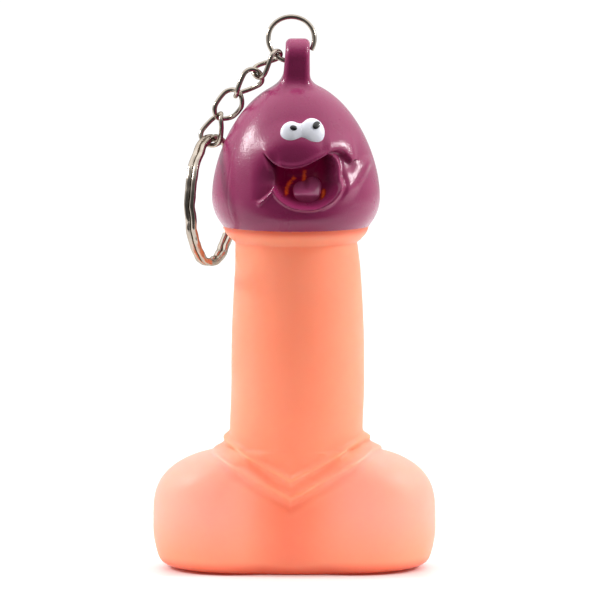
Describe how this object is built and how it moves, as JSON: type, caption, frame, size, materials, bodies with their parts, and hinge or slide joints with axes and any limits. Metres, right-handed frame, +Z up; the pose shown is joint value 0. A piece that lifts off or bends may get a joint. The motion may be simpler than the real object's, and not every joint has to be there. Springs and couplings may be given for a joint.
{
  "type": "novelty keychain",
  "caption": "Soft-vinyl adult novelty keychain: hollow gag figure with a laughing cartoon face, hanging loop, jump ring, short twisted chain and split key ring.",
  "frame": {"origin": "in the resting plane of the base, under the middle of the figure", "axes": "+Z up along the figure, the face looks along -Y, the chain hangs on the -X side"},
  "size_m": [0.0538, 0.0321, 0.1049],
  "materials": {
    "flesh_vinyl": "satin soft vinyl",
    "purple_paint": "gloss sprayed vinyl",
    "white_paint": "gloss",
    "black_paint": "gloss",
    "tongue_paint": "gloss",
    "plug_plastic": "matte",
    "reed_plastic": "matte",
    "nickel": "polished nickel plate on steel"
  },
  "bodies": {
    "figure": {"figure_body": "flesh_vinyl", "figure_head": "purple_paint", "hanging_loop": "purple_paint", "eye_left": "white_paint", "eye_right": "white_paint", "pupil_left": "black_paint", "pupil_right": "black_paint", "tongue": "tongue_paint", "squeaker_plug": "plug_plastic", "squeaker_reed": "reed_plastic"},
    "jump_ring": {"jump_ring": "nickel"},
    "link_1": {"chain_link_1": "nickel"},
    "link_2": {"chain_link_2": "nickel"},
    "link_3": {"chain_link_3": "nickel"},
    "link_4": {"chain_link_4": "nickel"},
    "split_ring": {"split_ring": "nickel"}
  },
  "joints": [
    {"name": "jump_ring_swing", "type": "hinge", "parent": "figure", "child": "jump_ring", "pos_m": [0.00015, 0, 0.0969], "axis": [1, 0, 0], "range_deg": [0, 45]},
    {"name": "link_1_swing", "type": "hinge", "parent": "jump_ring", "child": "link_1", "pos_m": [-0.00377, 0.00012, 0.09726], "axis": [-0.09, 0.4791, 0.8731], "range_deg": [0, 50]},
    {"name": "link_2_swing", "type": "hinge", "parent": "link_1", "child": "link_2", "pos_m": [-0.00771, 0.00007, 0.0935], "axis": [-0.002, 0.6889, 0.7249], "range_deg": [0, 54]},
    {"name": "link_3_swing", "type": "hinge", "parent": "link_2", "child": "link_3", "pos_m": [-0.0114, 0.0008, 0.08957], "axis": [0.317, 0.9431, 0.1], "range_deg": [0, 54]},
    {"name": "link_4_swing", "type": "hinge", "parent": "link_3", "child": "link_4", "pos_m": [-0.01467, 0.00172, 0.08532], "axis": [0.9108, 0.2879, 0.2959], "range_deg": [0, 54]},
    {"name": "split_ring_swing", "type": "hinge", "parent": "link_4", "child": "split_ring", "pos_m": [-0.01683, 0.00209, 0.08032], "axis": [0.8747, -0.4589, -0.156], "range_deg": [-8, 10]}
  ]
}
